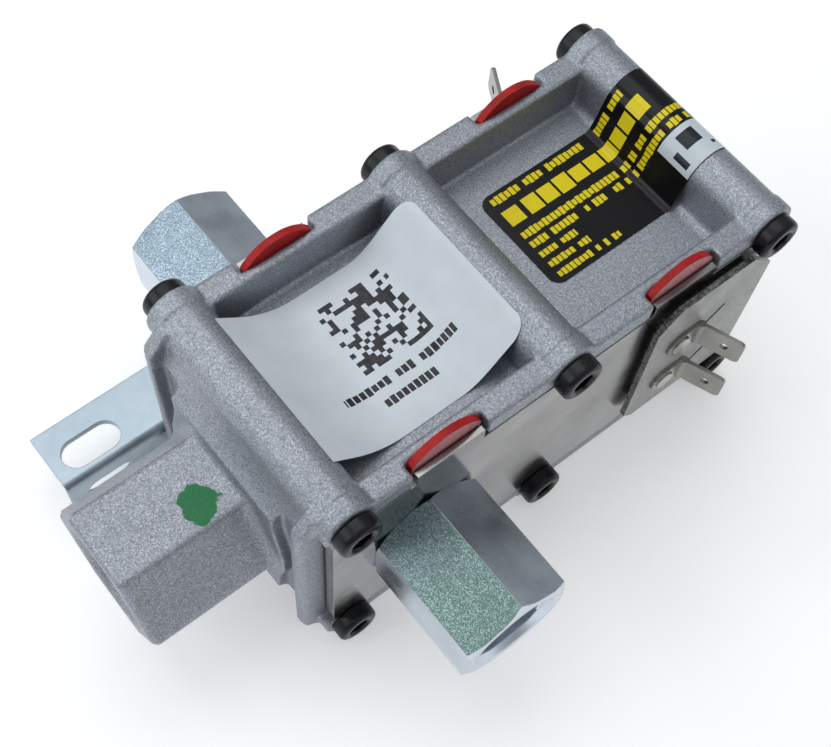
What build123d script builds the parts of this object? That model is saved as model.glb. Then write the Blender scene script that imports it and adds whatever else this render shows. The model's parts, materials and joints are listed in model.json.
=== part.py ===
"""Two-outlet gas oven valve: cast body, cover plates, outlet fittings and a heated bimetal blade per side.

Millimetres.  +Z is up, -X is the inlet end, +Y is the left side seen from the inlet.
Pieces are drawn about the middle cover screws on the inlet axis, and saved with the origin
where the inlet thread starts.
"""

import os
from math import atan2, cos, degrees, pi, radians, sin, sqrt

from build123d import *

# ---------------------------------------------------------------- driving dimensions
SCREW_PITCH = 48.2          # along X, between neighbouring cover screws
SCREW_HALF_HEIGHT = 23.8    # cover screw axes above and below the port axis
SEAL_HALF_WIDTH = 23.0      # sealing faces of the body
RIB_RADIUS = 5.2

INLET_REACH = 26.7          # inlet boss beyond the front wall
INLET_ACROSS_FLATS = 27.9
INLET_THREAD_RADIUS = 9.7
INLET_THREAD_LENGTH = 17.0
INLET_PASSAGE_RADIUS = 7.0
INLET_CHAMFER = 1.3

OUTLET_REACH = 26.15        # outlet hexagon beyond the outer plate
OUTLET_ACROSS_FLATS = 22.225
OUTLET_THREAD_RADIUS = 7.9
OUTLET_THREAD_LENGTH = 15.0
OUTLET_PASSAGE_RADIUS = 6.0

GASKET_THICKNESS = 0.8
GASKET_INSET = 1.3          # of its ends behind the plates' ends
INNER_PLATE_THICKNESS = 1.05
OUTER_PLATE_THICKNESS = 1.2
EAR_RADIUS = 9.2
EAR_THICKNESS = 1.5

SCREW_RADIUS = 2.5
SCREW_HEAD_RADIUS = 4.35
SCREW_HEAD_HEIGHT = 3.3
SCREW_LENGTH = 12.0

BLADE_THICKNESS = 0.9
BLADE_HALF_HEIGHT = 6.0
DISC_RADIUS = 8.75

TERMINAL_WIDTH = 6.35
TERMINAL_THICKNESS = 0.8
TERMINAL_Z = (6.3, -7.9)
SLIT_RISE = (1.1, -1.4)     # slits in the board, from each tab's middle
TERMINAL_REACH = {"right": 9.2, "left": 14.0}   # the left tabs are longer
TERMINAL_LEAN = {"right": 21.0, "left": 28.0}
BOARD_THICKNESS = 1.2

BRACKET_DROP = 8.1          # bracket's top face above the lower screw axes
BRACKET_THICKNESS = 1.5
BRACKET_WIDTH = 13.75
BRACKET_TAIL = 6.5          # bracket past the middle screw
LABEL_THICKNESS = 0.15

# ---------------------------------------------------------------- derived dimensions
BODY_HALF_WIDTH = SEAL_HALF_WIDTH + 3.0
RAIL_INNER = SEAL_HALF_WIDTH - 2.2
RAIL_TOP = SCREW_HALF_HEIGHT + 2.75
POCKET_FLOOR = SCREW_HALF_HEIGHT - 6.3
FRONT_WALL_X = -SCREW_PITCH - 8.8
FRONT_WALL_TOP = SCREW_HALF_HEIGHT - 0.4
CHAMBER_X = (-SCREW_PITCH + 0.2, SCREW_PITCH - 2.2)
CHAMBER_HALF_HEIGHT = POCKET_FLOOR - 3.7
INLET_FACE_X = FRONT_WALL_X - INLET_REACH
OUTLET_X = -SCREW_PITCH + 16.7
SEAT_FACE = SEAL_HALF_WIDTH - 1.6
PLATE_HALF_LENGTH = SCREW_PITCH + 3.9
PLATE_HALF_HEIGHT = SCREW_HALF_HEIGHT - 1.8
EAR_X = SCREW_PITCH / 2 + 3.0
EAR_TOP = SCREW_HALF_HEIGHT + 5.8
BLADE_OUTER = SEAT_FACE - 1.5
HINGE_X = CHAMBER_X[1] - 2.5
ANCHOR_RIVET_X = HINGE_X - 4.7
RIVET_X = SCREW_PITCH - 19.4
TERMINAL_BEND_X = RIVET_X + 4.7
SCREW_XS = (-SCREW_PITCH, 0.0, SCREW_PITCH)
REAR_X = SCREW_PITCH + RIB_RADIUS
INNER_PLATE_FACE = SEAL_HALF_WIDTH + GASKET_THICKNESS
OUTER_PLATE_FACE = INNER_PLATE_FACE + INNER_PLATE_THICKNESS
PLATE_FACE = OUTER_PLATE_FACE + OUTER_PLATE_THICKNESS
OUTLET_END = PLATE_FACE + OUTLET_REACH
BOARD_BACK = PLATE_FACE + 1.0
BRACKET_TOP = BRACKET_DROP - SCREW_HALF_HEIGHT
BRACKET_REACH = PLATE_FACE + BRACKET_WIDTH
BRACKET_X = (-SCREW_PITCH - 30.4, BRACKET_TAIL)
WINDING_X = (OUTLET_X + 14.5, RIVET_X - 15.8)    # first and last turn
BLADE_INNER = BLADE_OUTER - BLADE_THICKNESS
BOARD_FACE = BOARD_BACK + BOARD_THICKNESS
INLET_RADIUS = INLET_ACROSS_FLATS / sqrt(3)
ORIGIN_X = INLET_FACE_X + INLET_CHAMFER
OUTLET_RADIUS = OUTLET_ACROSS_FLATS / sqrt(3)
SIDES = (("right", -1), ("left", 1))
LEVELS = (("top", 1), ("bottom", -1))

os.makedirs("parts", exist_ok=True)


def across(x, y, z):
    """A placement whose local Z runs along the world Y axis."""
    return Location((x, y, z), (90, 0, 0))


def along(x, y, z):
    """A placement whose local Z runs along the world X axis."""
    return Location((x, y, z), (0, 90, 0))


def span_box(xs, ys, zs, mode=Mode.ADD):
    """A box given by its low and high limits."""
    with Locations(((xs[0] + xs[1]) / 2, (ys[0] + ys[1]) / 2, (zs[0] + zs[1]) / 2)):
        Box(abs(xs[1] - xs[0]), abs(ys[1] - ys[0]), abs(zs[1] - zs[0]), mode=mode)


def rod(x, z, radius, ys, mode=Mode.ADD):
    """A cylinder along Y between two Y values."""
    with Locations(across(x, (ys[0] + ys[1]) / 2, z)):
        Cylinder(radius, abs(ys[1] - ys[0]), mode=mode)


def save(part, label):
    placed = part.moved(Location((-ORIGIN_X, 0, 0)))
    placed.label = label
    export_step(placed, f"parts/{label}.step")


# ---------------------------------------------------------------- cast body
with BuildPart() as rib:
    with BuildSketch(Plane.XZ):
        with Locations((0, SCREW_HALF_HEIGHT)):
            Circle(RIB_RADIUS)
        with Locations((0, (SCREW_HALF_HEIGHT + POCKET_FLOOR) / 2 - 1)):
            Rectangle(2 * RIB_RADIUS, SCREW_HALF_HEIGHT - POCKET_FLOOR + 2)
    extrude(amount=BODY_HALF_WIDTH, both=True)

with BuildPart() as root_fillet:
    with BuildSketch(Plane.XZ):
        with Locations((RIB_RADIUS + 0.9, POCKET_FLOOR + 0.9)):
            Rectangle(1.84, 1.84)
        with Locations((RIB_RADIUS + 1.8, POCKET_FLOOR + 1.8)):
            Circle(1.8, mode=Mode.SUBTRACT)
    extrude(amount=RAIL_INNER + 0.5, both=True)

with BuildPart() as rail:
    with BuildSketch(Plane.YZ):
        with Locations(((RAIL_INNER + BODY_HALF_WIDTH) / 2, (RAIL_TOP + POCKET_FLOOR) / 2)):
            Rectangle(BODY_HALF_WIDTH - RAIL_INNER, RAIL_TOP - POCKET_FLOOR)
        with Locations(((RAIL_INNER + BODY_HALF_WIDTH) / 2, POCKET_FLOOR - 1)):
            Rectangle(BODY_HALF_WIDTH - RAIL_INNER, 3)
    extrude(amount=SCREW_PITCH, both=True)
    fillet(rail.edges().filter_by(Axis.X).group_by(Axis.Z)[-1], 0.7)

with BuildPart() as front_wall:
    span_box((FRONT_WALL_X, CHAMBER_X[0]), (-SEAL_HALF_WIDTH, SEAL_HALF_WIDTH),
             (-FRONT_WALL_TOP, FRONT_WALL_TOP))
    fillet(front_wall.faces().sort_by(Axis.X)[0].edges(), 1.4)

with BuildPart() as inlet_boss:
    with BuildSketch(Plane.YZ.offset(INLET_FACE_X)):
        RegularPolygon(INLET_RADIUS, 6)
        fillet(vertices(), 1.3)
    extrude(amount=-INLET_FACE_X + FRONT_WALL_X + 4)
    chamfer(inlet_boss.faces().sort_by(Axis.X)[0].edges(), 0.9)

with BuildPart() as front_end:
    add(front_wall.part)
    add(inlet_boss.part)
    root = [e for e in front_end.edges().filter_by_position(Axis.X, FRONT_WALL_X - 0.01, FRONT_WALL_X + 0.01)
            if abs(e.center().Y) < INLET_RADIUS and abs(e.center().Z) < INLET_ACROSS_FLATS / 2 + 0.5]
    fillet(root, 2.4)

with BuildPart() as saddle:
    high = (-SCREW_PITCH - RIB_RADIUS, FRONT_WALL_TOP + 0.6)
    foot = (FRONT_WALL_X - 0.2, INLET_ACROSS_FLATS / 2 + 2.6)
    with BuildSketch(Plane.XZ):
        with BuildLine():
            ThreePointArc(high, (FRONT_WALL_X + 2.3, FRONT_WALL_TOP - 3.9), foot)
            Polyline(foot, (foot[0], high[1]), high)
        make_face()
    extrude(amount=SEAL_HALF_WIDTH - 2.6, both=True)

with BuildPart() as corner_boss:
    with BuildSketch(Plane.XZ.offset(-SEAL_HALF_WIDTH)):
        Polygon((FRONT_WALL_X + 7, 15), (FRONT_WALL_X + 0.6, 15), (FRONT_WALL_X + 0.6, FRONT_WALL_TOP),
                (FRONT_WALL_X + 4.0, RAIL_TOP + 0.65), (FRONT_WALL_X + 7, RAIL_TOP + 0.65), align=None)
    extrude(amount=3.0)
    fillet(corner_boss.edges().filter_by(Axis.Y).sort_by(Axis.X)[1:3], 0.8)

with BuildPart() as body:
    span_box((FRONT_WALL_X + 3, REAR_X), (-SEAL_HALF_WIDTH, SEAL_HALF_WIDTH), (-POCKET_FLOOR, POCKET_FLOOR))
    span_box((SCREW_PITCH - RIB_RADIUS, REAR_X), (-SEAL_HALF_WIDTH, SEAL_HALF_WIDTH),
             (0.8 - SCREW_HALF_HEIGHT, SCREW_HALF_HEIGHT - 0.8))
    add(front_end.part)
    add(saddle.part, mode=Mode.SUBTRACT)
    add(saddle.part.mirror(Plane.XY), mode=Mode.SUBTRACT)
    for side in (1, -1):
        for boss in (corner_boss.part, corner_boss.part.mirror(Plane.XY)):
            add(boss if side > 0 else boss.mirror(Plane.XZ))
    for x in SCREW_XS:
        with Locations((x, 0, 0)):
            add(rib.part)
            add(rib.part.mirror(Plane.XY))
    for side in (1, -1):
        for turned in (rail.part, rail.part.mirror(Plane.XY)):
            add(turned if side > 0 else turned.mirror(Plane.XZ))
    for x, flip in ((SCREW_XS[0], 1), (0, 1), (0, -1), (SCREW_XS[2], -1)):
        piece = root_fillet.part if flip > 0 else root_fillet.part.mirror(Plane.YZ)
        with Locations((x, 0, 0)):
            add(piece)
            add(piece.mirror(Plane.XY))
    for side in (1, -1):
        reach = (side * SEAL_HALF_WIDTH, side * (BODY_HALF_WIDTH + 1))
        span_box((FRONT_WALL_X - 3, REAR_X + 1), reach,
                 (-PLATE_HALF_HEIGHT - 0.1, PLATE_HALF_HEIGHT + 0.1), Mode.SUBTRACT)
        for x in (-EAR_X, EAR_X):
            span_box((x - 8.2, x + 8.2), reach, (20, RAIL_TOP + 1), Mode.SUBTRACT)
        for z in (SCREW_HALF_HEIGHT, -SCREW_HALF_HEIGHT):
            for x in SCREW_XS:
                rod(x, z, SCREW_RADIUS + 0.05,
                    (side * (SEAL_HALF_WIDTH - 10.5), side * (PLATE_FACE + 1)), Mode.SUBTRACT)
        with BuildSketch(Plane.YZ.offset(FRONT_WALL_X)) as hollow:
            low = INLET_RADIUS + 1.5
            outline = [(SEAL_HALF_WIDTH - 2.7, FRONT_WALL_TOP - 4.2), (low - 2.6, FRONT_WALL_TOP - 4.2),
                       (low - 2.6, 12.0), (low, 2.0), (low, -2.0), (low - 2.6, -12.0),
                       (low - 2.6, 4.2 - FRONT_WALL_TOP), (SEAL_HALF_WIDTH - 2.7, 4.2 - FRONT_WALL_TOP)]
            Polygon(*[(side * y, z) for y, z in outline], align=None)
            fillet(vertices(), 0.9)
        extrude(amount=2.6, mode=Mode.SUBTRACT)
    with BuildSketch(Plane.XZ):
        with Locations(((CHAMBER_X[0] + CHAMBER_X[1]) / 2, 0)):
            RectangleRounded(CHAMBER_X[1] - CHAMBER_X[0], 2 * CHAMBER_HALF_HEIGHT, 3)
    extrude(amount=BODY_HALF_WIDTH + 1, both=True, mode=Mode.SUBTRACT)
    with Locations(along((INLET_FACE_X + CHAMBER_X[0]) / 2, 0, 0)):
        Cylinder(INLET_PASSAGE_RADIUS, CHAMBER_X[0] - INLET_FACE_X + 2, mode=Mode.SUBTRACT)
    with Locations(along(INLET_FACE_X + INLET_THREAD_LENGTH / 2, 0, 0)):
        Cylinder(INLET_THREAD_RADIUS, INLET_THREAD_LENGTH, mode=Mode.SUBTRACT)
    with Locations(along(INLET_FACE_X + INLET_CHAMFER / 2, 0, 0)):
        Cone(INLET_THREAD_RADIUS + INLET_CHAMFER, INLET_THREAD_RADIUS, INLET_CHAMFER, mode=Mode.SUBTRACT)
save(body.part, "valve_body")

# ---------------------------------------------------------------- covers, gaskets and screws, both sides
for name, side in SIDES:
    with BuildPart() as gasket:
        with BuildSketch(Plane.XZ.offset(-side * SEAL_HALF_WIDTH)):
            Rectangle(2 * (PLATE_HALF_LENGTH - GASKET_INSET), 2 * PLATE_HALF_HEIGHT)
            with Locations(((CHAMBER_X[0] + CHAMBER_X[1]) / 2, 0)):
                RectangleRounded(
                    CHAMBER_X[1] - CHAMBER_X[0], 2 * CHAMBER_HALF_HEIGHT, 3, mode=Mode.SUBTRACT
                )
        extrude(amount=-side * GASKET_THICKNESS)
        for x in (-EAR_X, EAR_X):
            with BuildSketch(Plane.XZ.offset(-side * SEAL_HALF_WIDTH)):
                with Locations((x, EAR_TOP - EAR_RADIUS)):
                    Circle(EAR_RADIUS)
                with Locations((x, PLATE_HALF_HEIGHT - 20)):
                    Rectangle(60, 40, mode=Mode.SUBTRACT)
                with Locations((x - 37.4, EAR_TOP), (x + 37.4, EAR_TOP)):
                    Rectangle(60, 40, mode=Mode.SUBTRACT)
            extrude(amount=-side * EAR_THICKNESS)
        for z in (SCREW_HALF_HEIGHT, -SCREW_HALF_HEIGHT):
            for x in SCREW_XS:
                rod(x, z, SCREW_RADIUS + 0.25, (side * RAIL_INNER, side * PLATE_FACE), Mode.SUBTRACT)
    save(gasket.part, f"gasket_{name}")

    for label, face, thick in (
        (f"inner_plate_{name}", INNER_PLATE_FACE, INNER_PLATE_THICKNESS),
        (f"outer_plate_{name}", OUTER_PLATE_FACE, OUTER_PLATE_THICKNESS),
    ):
        with BuildPart() as plate:
            with BuildSketch(Plane.XZ.offset(-side * face)):
                Rectangle(2 * PLATE_HALF_LENGTH, 2 * PLATE_HALF_HEIGHT)
                chamfer(vertices(), 3.0)
                if face == OUTER_PLATE_FACE:
                    with Locations((-EAR_X, PLATE_HALF_HEIGHT), (EAR_X, PLATE_HALF_HEIGHT)):
                        Rectangle(14.6, 5.8)
                with Locations([(x, z) for x in SCREW_XS for z in (SCREW_HALF_HEIGHT, -SCREW_HALF_HEIGHT)]):
                    Circle(SCREW_RADIUS + 0.25, mode=Mode.SUBTRACT)
                with Locations((OUTLET_X, 0)):
                    Circle(8.35, mode=Mode.SUBTRACT)
                with Locations([(RIVET_X, -side * z) for z in TERMINAL_Z]):
                    Circle(3.0, mode=Mode.SUBTRACT)
            extrude(amount=-side * thick)
        save(plate.part, label)

    for level, up in LEVELS:
        with BuildPart() as screws:
            for x in SCREW_XS:
                bracketed = side > 0 and up < 0 and x < BRACKET_X[1]
                seat = PLATE_FACE + (BRACKET_THICKNESS if bracketed else 0)
                z = up * SCREW_HALF_HEIGHT
                rod(x, z, SCREW_RADIUS, (side * (seat - SCREW_LENGTH), side * (seat + 0.5)))
                rod(x, z, SCREW_HEAD_RADIUS - 0.9, (side * seat, side * (seat + SCREW_HEAD_HEIGHT)))
                rod(x, z, SCREW_HEAD_RADIUS, (side * seat, side * (seat + SCREW_HEAD_HEIGHT - 0.9)))
                with Locations(across(x, side * (seat + SCREW_HEAD_HEIGHT - 0.45), z)):
                    Cone(
                        SCREW_HEAD_RADIUS - (0.9 if side < 0 else 0),
                        SCREW_HEAD_RADIUS - (0.9 if side > 0 else 0),
                        0.9,
                        rotation=(180, 0, 0),
                    )
                with BuildSketch(Plane.XZ.offset(-side * (seat + SCREW_HEAD_HEIGHT))):
                    with Locations((x, z)):
                        RegularPolygon(4.0 / sqrt(3), 6, rotation=10)
                extrude(amount=side * 2.0, mode=Mode.SUBTRACT)
        save(screws.part, f"cover_screws_{name}_{level}")

# ---------------------------------------------------------------- outlet fittings with their seats
for name, side in SIDES:
    with BuildPart() as turned:
        with Locations(across(OUTLET_X, side * (PLATE_FACE + OUTLET_END) / 2, 0)):
            Cylinder(OUTLET_RADIUS + 0.02, OUTLET_END - PLATE_FACE)
        chamfer(turned.edges(), 0.75, 1.5)
    with BuildPart() as fitting:
        with BuildSketch(Plane.XZ.offset(-side * PLATE_FACE)):
            with Locations((OUTLET_X, 0)):
                RegularPolygon(OUTLET_RADIUS, 6, rotation=30)
        extrude(amount=-side * (OUTLET_END - PLATE_FACE))
        add(turned.part, mode=Mode.INTERSECT)
        rod(OUTLET_X, 0, 8.3, (side * (SEAL_HALF_WIDTH - 0.4), side * (PLATE_FACE + 1)))
        rod(OUTLET_X, 0, 10.0, (side * (SEAL_HALF_WIDTH - 0.4), side * INNER_PLATE_FACE))
        rod(OUTLET_X, 0, 7.6, (side * SEAT_FACE, side * SEAL_HALF_WIDTH))
        rod(OUTLET_X, 0, OUTLET_PASSAGE_RADIUS, (side * RAIL_INNER, side * (OUTLET_END + 1)), Mode.SUBTRACT)
        thread_start = OUTLET_END - OUTLET_THREAD_LENGTH
        rod(OUTLET_X, 0, OUTLET_THREAD_RADIUS, (side * thread_start, side * (OUTLET_END + 1)), Mode.SUBTRACT)
        with Locations(across(OUTLET_X, side * (OUTLET_END - 0.6), 0)):
            Cone(
                OUTLET_THREAD_RADIUS if side < 0 else OUTLET_THREAD_RADIUS + 1.2,
                OUTLET_THREAD_RADIUS if side > 0 else OUTLET_THREAD_RADIUS + 1.2,
                1.2,
                mode=Mode.SUBTRACT,
            )
    save(fitting.part, f"outlet_fitting_{name}")

# ---------------------------------------------------------------- terminal boards, tabs, rivets and leads
for name, side in SIDES:
    turn = -side    # both covers are the same assembly, the left one turned half a turn about X
    levels = [turn * z for z in TERMINAL_Z]
    with BuildPart() as board:
        with BuildSketch(Plane.XZ.offset(-side * BOARD_BACK)):
            outline = ((-8.0, -16.2), (-5.5, -18.7), (19.0, -18.7), (21.5, -16.2),
                       (21.5, 14.5), (15.0, 21.0), (-3.5, 21.0), (-8.0, 16.5))
            Polygon(*[(RIVET_X + x, turn * z) for x, z in outline], align=None)
            with Locations([(RIVET_X, z) for z in levels]):
                Circle(1.33, mode=Mode.SUBTRACT)
            with Locations([Location((RIVET_X + 9.4, turn * (z + rise)), 38 * turn)
                            for z, rise in zip(TERMINAL_Z, SLIT_RISE)]):
                SlotOverall(5.4, 1.1, mode=Mode.SUBTRACT)
        extrude(amount=-side * BOARD_THICKNESS)
    save(board.part, f"terminal_board_{name}")

    with BuildPart() as sheet:
        with BuildSketch(Plane.XZ.offset(-side * PLATE_FACE)):
            with Locations((RIVET_X + 6.4, turn * 0.2)):
                RectangleRounded(23, 31, 1.5)
            with Locations([(RIVET_X, z) for z in levels]):
                Circle(1.33, mode=Mode.SUBTRACT)
        extrude(amount=-side * (BOARD_BACK - PLATE_FACE))
    save(sheet.part, f"mica_sheet_{name}")

    lean = radians(TERMINAL_LEAN[name])
    reach = TERMINAL_REACH[name]
    for place, zt in zip(("upper", "lower"), sorted(levels, reverse=True)):
        with BuildPart() as tab:
            with BuildSketch(Plane.XZ.offset(-side * BOARD_FACE)):
                with Locations((TERMINAL_BEND_X - 2.85, zt)):
                    Rectangle(5.7, TERMINAL_WIDTH)
                with Locations((RIVET_X, zt)):
                    Circle(TERMINAL_WIDTH / 2)
                    Circle(1.33, mode=Mode.SUBTRACT)
            extrude(amount=-side * TERMINAL_THICKNESS)
            with Locations((TERMINAL_BEND_X, side * (BOARD_FACE + TERMINAL_THICKNESS), zt)):
                Cylinder(TERMINAL_THICKNESS, TERMINAL_WIDTH)
            start = (TERMINAL_BEND_X, side * (BOARD_FACE + TERMINAL_THICKNESS), zt)
            blade_plane = Plane(origin=start, x_dir=(sin(lean), side * cos(lean), 0),
                                z_dir=(side * cos(lean), -sin(lean), 0))
            half = TERMINAL_WIDTH / 2
            with BuildSketch(blade_plane):
                Polygon((0, -half), (reach, -half), (reach, half), (0, half), align=None)
                fillet(vertices().group_by(Axis.X)[-1], 1.2)
                with Locations((reach - 3.8, 0)):
                    Circle(0.9, mode=Mode.SUBTRACT)
            extrude(amount=TERMINAL_THICKNESS / 2, both=True)
        save(tab.part, f"terminal_{name}_{place}")

    with BuildPart() as rivets:
        for zt in levels:
            outer = BOARD_FACE + TERMINAL_THICKNESS
            rod(RIVET_X, zt, 1.3, (side * (SEAL_HALF_WIDTH - 0.5), side * (outer + 0.2)))
            rod(RIVET_X, zt, 2.1, (side * outer, side * (outer + 0.4)))
            rod(RIVET_X, zt, 2.3, (side * (SEAL_HALF_WIDTH - 0.8), side * SEAL_HALF_WIDTH))
    save(rivets.part, f"terminal_rivets_{name}")

    with BuildPart() as bushings:
        for zt in levels:
            rod(RIVET_X, zt, 2.95, (side * (SEAL_HALF_WIDTH + 0.4), side * PLATE_FACE))
            rod(RIVET_X, zt, 4.0, (side * SEAL_HALF_WIDTH, side * INNER_PLATE_FACE))
            rod(RIVET_X, zt, 1.33, (side * RAIL_INNER, side * BOARD_FACE), Mode.SUBTRACT)
    save(bushings.part, f"terminal_bushings_{name}")

    far = WINDING_X[0] - RIVET_X
    routes = (
        ("short", ((0.0, -1.35, TERMINAL_Z[0]), (-7.8, -1.5, 6.0), (-15.8, -1.8, 4.0))),
        ("long", ((0.0, -1.3, TERMINAL_Z[1]), (far + 25, -1.0, -8.6), (far + 5, -1.2, -8.2),
                  (far, -1.8, -4.5))),
    )
    for place, points in routes:
        with BuildPart() as lead:
            with BuildLine() as path:
                Spline(*[(RIVET_X + x, side * (SEAL_HALF_WIDTH + y), turn * z) for x, y, z in points])
            with BuildSketch(Plane(origin=path.line @ 0, z_dir=path.line % 0)):
                Circle(0.5)
            sweep()
        save(lead.part, f"heater_lead_{name}_{place}")

# ---------------------------------------------------------------- bimetal blades and what rides on them
for name, side in SIDES:
    inner, outer = side * BLADE_INNER, side * BLADE_OUTER
    with BuildPart() as blade:
        span_box((OUTLET_X, HINGE_X), (inner, outer), (-BLADE_HALF_HEIGHT, BLADE_HALF_HEIGHT))
        rod(OUTLET_X, 0, BLADE_HALF_HEIGHT, (inner, outer))
        through = (side * (BLADE_INNER - 1), side * (BLADE_OUTER + 1))
        rod(OUTLET_X, 0, 1.5, through, Mode.SUBTRACT)
        for z in (-3.0, 3.0):
            rod(ANCHOR_RIVET_X, z, 1.22, through, Mode.SUBTRACT)
    save(blade.part, f"bimetal_blade_{name}")

    with BuildPart() as disc:
        rod(OUTLET_X, 0, DISC_RADIUS, (outer, side * SEAT_FACE))
        rod(OUTLET_X, 0, 1.5, (inner, side * SEAL_HALF_WIDTH), Mode.SUBTRACT)
    save(disc.part, f"valve_disc_{name}")

    with BuildPart() as disc_rivet:
        rod(OUTLET_X, 0, 1.48, (side * (BLADE_INNER - 0.5), side * (SEAT_FACE + 0.5)))
        rod(OUTLET_X, 0, 2.8, (side * (BLADE_INNER - 1.0), inner))
        rod(OUTLET_X, 0, 2.8, (side * SEAT_FACE, side * (SEAT_FACE + 0.8)))
    save(disc_rivet.part, f"disc_rivet_{name}")

    with BuildPart() as wrap:
        wide, bore = BLADE_HALF_HEIGHT + 0.4, BLADE_HALF_HEIGHT + 0.02
        span_box((WINDING_X[0] - 3, WINDING_X[1] + 3),
                 (side * (BLADE_INNER - 0.4), side * (BLADE_OUTER + 0.4)), (-wide, wide))
        span_box((WINDING_X[0] - 4, WINDING_X[1] + 4),
                 (side * (BLADE_INNER - 0.02), side * (BLADE_OUTER + 0.02)), (-bore, bore), Mode.SUBTRACT)
    save(wrap.part, f"mica_wrap_{name}")

    with BuildPart() as heater:
        high = BLADE_HALF_HEIGHT + 0.8
        step = (WINDING_X[1] - WINDING_X[0]) / 12
        turns = [WINDING_X[0] + step * i for i in range(13)]
        for x in turns:
            span_box((x - 0.6, x + 0.6), (side * (BLADE_INNER - 0.8), side * (BLADE_OUTER + 0.8)),
                     (-high, high))
        for x in turns[:-1]:
            span_box((x, x + step), (side * (BLADE_INNER - 0.8), side * (BLADE_INNER - 0.42)), (-0.5, 0.5))
        span_box((WINDING_X[0] - 4, WINDING_X[1] + 4),
                 (side * (BLADE_INNER - 0.42), side * (BLADE_OUTER + 0.42)),
                 (0.38 - high, high - 0.38), Mode.SUBTRACT)
    save(heater.part, f"heater_winding_{name}")

    with BuildPart() as anchor:
        span_box((HINGE_X - 9.5, HINGE_X), (side * (BLADE_OUTER + 0.05), side * INNER_PLATE_FACE),
                 (-BLADE_HALF_HEIGHT, BLADE_HALF_HEIGHT))
        for z in (-3.0, 3.0):
            rod(ANCHOR_RIVET_X, z, 1.7, (inner, side * INNER_PLATE_FACE), Mode.SUBTRACT)
            rod(ANCHOR_RIVET_X, z, 2.9, (side * (SEAT_FACE + 0.5), side * INNER_PLATE_FACE), Mode.SUBTRACT)
    save(anchor.part, f"blade_anchor_{name}")

    with BuildPart() as anchor_rivets:
        for z in (-3.0, 3.0):
            rod(ANCHOR_RIVET_X, z, 1.2, (side * (BLADE_INNER - 0.5), side * (SEAL_HALF_WIDTH - 0.5)))
            rod(ANCHOR_RIVET_X, z, 2.2, (side * (BLADE_INNER - 0.9), inner))
            rod(ANCHOR_RIVET_X, z, 2.2, (side * (SEAL_HALF_WIDTH - 0.75), side * (SEAL_HALF_WIDTH - 0.05)))
    save(anchor_rivets.part, f"anchor_rivets_{name}")

# ---------------------------------------------------------------- slotted mounting bracket
with BuildPart() as bracket:
    low = BRACKET_TOP - BRACKET_THICKNESS
    inner = PLATE_FACE + BRACKET_THICKNESS
    with BuildSketch(Plane.YZ.offset(BRACKET_X[0])):
        foot = -SCREW_HALF_HEIGHT - 4.8
        Polygon((PLATE_FACE, foot), (inner, foot), (inner, low), (BRACKET_REACH, low),
                (BRACKET_REACH, BRACKET_TOP), (PLATE_FACE, BRACKET_TOP), align=None)
    extrude(amount=BRACKET_X[1] - BRACKET_X[0])
    bends = bracket.edges().filter_by(Axis.X)
    fillet(bends.filter_by_position(Axis.Y, PLATE_FACE - 0.01, PLATE_FACE + 0.01).sort_by(Axis.Z)[-1], 2.0)
    fillet(bracket.edges().filter_by(Axis.X).filter_by_position(Axis.Y, inner - 0.01, inner + 0.01)
           .sort_by(Axis.Z)[-1], 0.6)
    with BuildSketch(Plane.XY.offset(BRACKET_TOP)):
        with Locations((BRACKET_X[0] + 9.2, PLATE_FACE + 5.75)):
            SlotOverall(13.0, 6.6)
    extrude(amount=-BRACKET_THICKNESS, mode=Mode.SUBTRACT)
    with BuildSketch(Plane.XZ.offset(-PLATE_FACE)):
        with Locations((BRACKET_X[0] + 9.2, BRACKET_TOP - 6.7)):
            SlotOverall(11.0, 5.2)
        with Locations((SCREW_XS[0], -SCREW_HALF_HEIGHT), (SCREW_XS[1], -SCREW_HALF_HEIGHT)):
            Circle(SCREW_RADIUS + 0.25)
    extrude(amount=-BRACKET_THICKNESS, mode=Mode.SUBTRACT)
save(bracket.part, "mounting_bracket")


# ---------------------------------------------------------------- labels draped over pocket floors and ribs
def tangent_angle(px, pz, cx, cz, radius, turn):
    """Angle on a circle at which the line from a point touches it."""
    base = atan2(pz - cz, px - cx)
    return base + turn * (pi / 2 - atan2(radius, sqrt((px - cx) ** 2 + (pz - cz) ** 2 - radius ** 2)))


def arc_points(cx, cz, radius, start, end, count=14):
    steps = [start + (end - start) * i / count for i in range(count + 1)]
    return [(cx + radius * cos(a), cz + radius * sin(a)) for a in steps]


def label_part(lower, upper, ys, corners, label):
    """A draped sheet between two Y values; `corners` lists (x side, y side, radius) of its round corners."""
    xs = (min(x for x, _ in lower), max(x for x, _ in lower))
    cutters = []
    for x_side, y_side, radius in corners:
        x = xs[1] - radius if x_side > 0 else xs[0] + radius
        y = ys[1] - radius if y_side > 0 else ys[0] + radius
        with BuildPart() as cutter:
            span_box((x, x + x_side * (radius + 1)), (y, y + y_side * (radius + 1)), (10, 40))
            with Locations((x, y, 25)):
                Cylinder(radius, 40, mode=Mode.SUBTRACT)
        cutters.append(cutter.part)
    with BuildPart() as sheet:
        with BuildSketch(Plane.XZ.offset(-ys[1])):
            Polygon(*(lower + upper[::-1]), align=None)
        extrude(amount=ys[1] - ys[0])
        for cutter_part in cutters:
            add(cutter_part, mode=Mode.SUBTRACT)
    save(sheet.part, label)


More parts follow.
